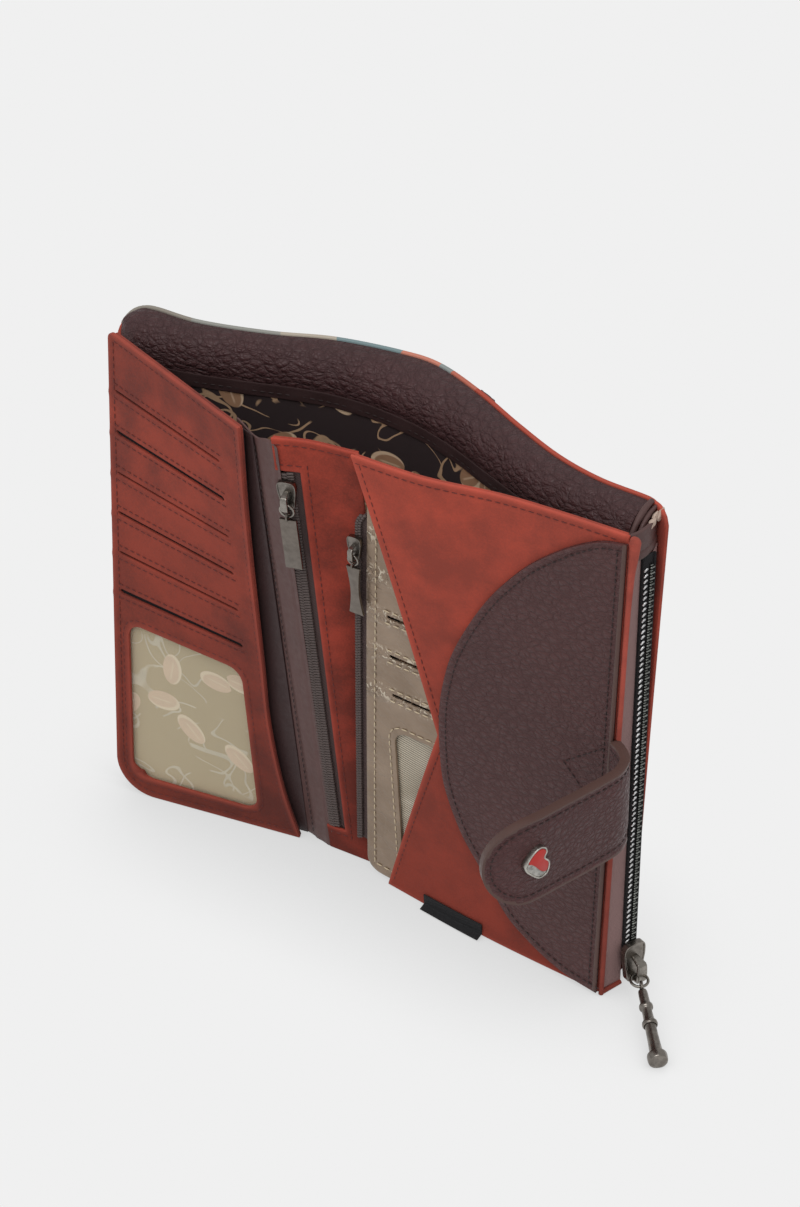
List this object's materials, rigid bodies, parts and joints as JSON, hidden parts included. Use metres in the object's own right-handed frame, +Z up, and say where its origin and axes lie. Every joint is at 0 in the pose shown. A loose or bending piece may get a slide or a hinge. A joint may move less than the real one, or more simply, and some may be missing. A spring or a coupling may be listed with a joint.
{
  "type": "folding wallet",
  "caption": "Half-open folding wallet of red cloth and brown leather with a note pocket, card slots, zip pockets and a snap strap.",
  "frame": {"origin": "on the flat base that the wallet stands on, half way between its outer edges", "axes": "+X along the wallet from the card half to the side zip, +Y from the card side to the outer cover, +Z up"},
  "size_m": [0.2443, 0.1116, 0.1955],
  "materials": {
    "black_lining": "matte printed cloth",
    "bronze_leather": "metallic sheen",
    "brown_leather": "pebbled, satin",
    "red_enamel": "glossy",
    "red_fabric": "matte woven, salmon red",
    "taupe_lining": "matte cloth",
    "window_film": "clear film",
    "window_mesh": "open mesh",
    "zip_coil": "black moulded coil",
    "zip_metal": "dark nickel",
    "zip_tape": "woven tape"
  },
  "bodies": {
    "left_half": {"card_panel": "red_fabric", "card_pocket_backing": "taupe_lining", "card_window_film": "window_film", "left_back_lining": "black_lining", "left_base": "red_fabric", "left_cover": "red_fabric", "left_facing": "brown_leather", "left_front_lining": "black_lining", "snap_stud": "zip_metal"},
    "right_half": {"coin_pocket_bag": "black_lining", "coin_zip_coil": "zip_coil", "coin_zip_tape_left": "zip_tape", "coin_zip_tape_right": "zip_tape", "cover_tab": "brown_leather", "edge_piping": "red_fabric", "gusset_strip": "brown_leather", "mesh_window": "window_mesh", "metallic_panel": "bronze_leather", "middle_front_lining": "black_lining", "middle_panel": "red_fabric", "right_back_lining": "black_lining", "right_base": "red_fabric", "right_cover": "red_fabric", "right_facing": "brown_leather", "right_front_lining": "black_lining", "right_pocket_backing": "black_lining", "round_panel": "brown_leather", "second_zip_coil": "zip_coil", "second_zip_tape": "zip_tape", "side_zip_tape_back": "zip_tape", "side_zip_tape_front": "zip_tape", "side_zip_teeth_back": "zip_metal", "side_zip_teeth_front": "zip_metal", "side_zip_top_tab": "brown_leather", "v_cut_panel": "red_fabric", "woven_label": "black_lining"},
    "coin_zip_ring": {"coin_zip_ring": "zip_metal"},
    "coin_zip_slider": {"coin_zip_slider": "zip_metal"},
    "coin_zip_tag": {"coin_zip_tag": "zip_metal"},
    "second_zip_ring": {"second_zip_ring": "zip_metal"},
    "second_zip_slider": {"second_zip_slider": "zip_metal"},
    "second_zip_tag": {"second_zip_tag": "zip_metal"},
    "side_zip_link": {"side_zip_link": "zip_metal"},
    "side_zip_pull": {"side_zip_pull": "zip_metal"},
    "side_zip_slider": {"side_zip_slider": "zip_metal"},
    "strap": {"snap_cap": "zip_metal", "snap_cap_enamel": "red_enamel", "snap_socket": "zip_metal", "strap_lining": "brown_leather", "strap_outer": "brown_leather"}
  },
  "joints": [
    {"name": "fold", "type": "hinge", "parent": "right_half", "child": "left_half", "pos_m": [-0.02701, -0.0121, 0], "axis": [0.166, 0.0907, 0.9819], "range_deg": [0, 45], "deforming": ["gusset_strip"]},
    {"name": "strap_bend", "type": "hinge", "parent": "right_half", "child": "strap", "pos_m": [0.10189, -0.02437, 0], "axis": [0, 0, 1], "range_deg": [-68, 10]},
    {"name": "coin_zip_run", "type": "slide", "parent": "right_half", "child": "coin_zip_slider", "axis": [-0.0017, 0.1478, -0.989], "range_m": [0, 0.145]},
    {"name": "coin_ring_swing", "type": "hinge", "parent": "coin_zip_slider", "child": "coin_zip_ring", "pos_m": [-0.01652, -0.03898, 0.16819], "axis": [-0.9671, -0.252, -0.036], "range_deg": [0, 15]},
    {"name": "coin_tag_swing", "type": "hinge", "parent": "coin_zip_ring", "child": "coin_zip_tag", "pos_m": [-0.01653, -0.03827, 0.16344], "axis": [-0.9671, -0.252, -0.036], "range_deg": [-5, 15]},
    {"name": "second_zip_run", "type": "slide", "parent": "right_half", "child": "second_zip_slider", "axis": [-0.0746, 0.1053, -0.9916], "range_m": [0, 0.118]},
    {"name": "second_ring_swing", "type": "hinge", "parent": "second_zip_slider", "child": "second_zip_ring", "pos_m": [0.00516, -0.03212, 0.15273], "axis": [-0.9993, -0.0381, 0.001], "range_deg": [0, 75]},
    {"name": "second_tag_swing", "type": "hinge", "parent": "second_zip_ring", "child": "second_zip_tag", "pos_m": [0.00515, -0.03174, 0.14891], "axis": [-0.9993, -0.0381, 0.001], "range_deg": [-5, 75]},
    {"name": "side_zip_run", "type": "slide", "parent": "right_half", "child": "side_zip_slider", "axis": [0.0092, 0, 1], "range_m": [0, 0.158]},
    {"name": "side_link_swing", "type": "hinge", "parent": "side_zip_slider", "child": "side_zip_link", "pos_m": [0.10883, -0.01231, 0.00699], "axis": [-0.6947, -0.7193, 0], "range_deg": [-45, 30]},
    {"name": "side_pull_swing", "type": "hinge", "parent": "side_zip_link", "child": "side_zip_pull", "pos_m": [0.11312, -0.01646, 0.00637], "axis": [-0.7431, -0.6691, 0], "range_deg": [-35, 45]}
  ]
}
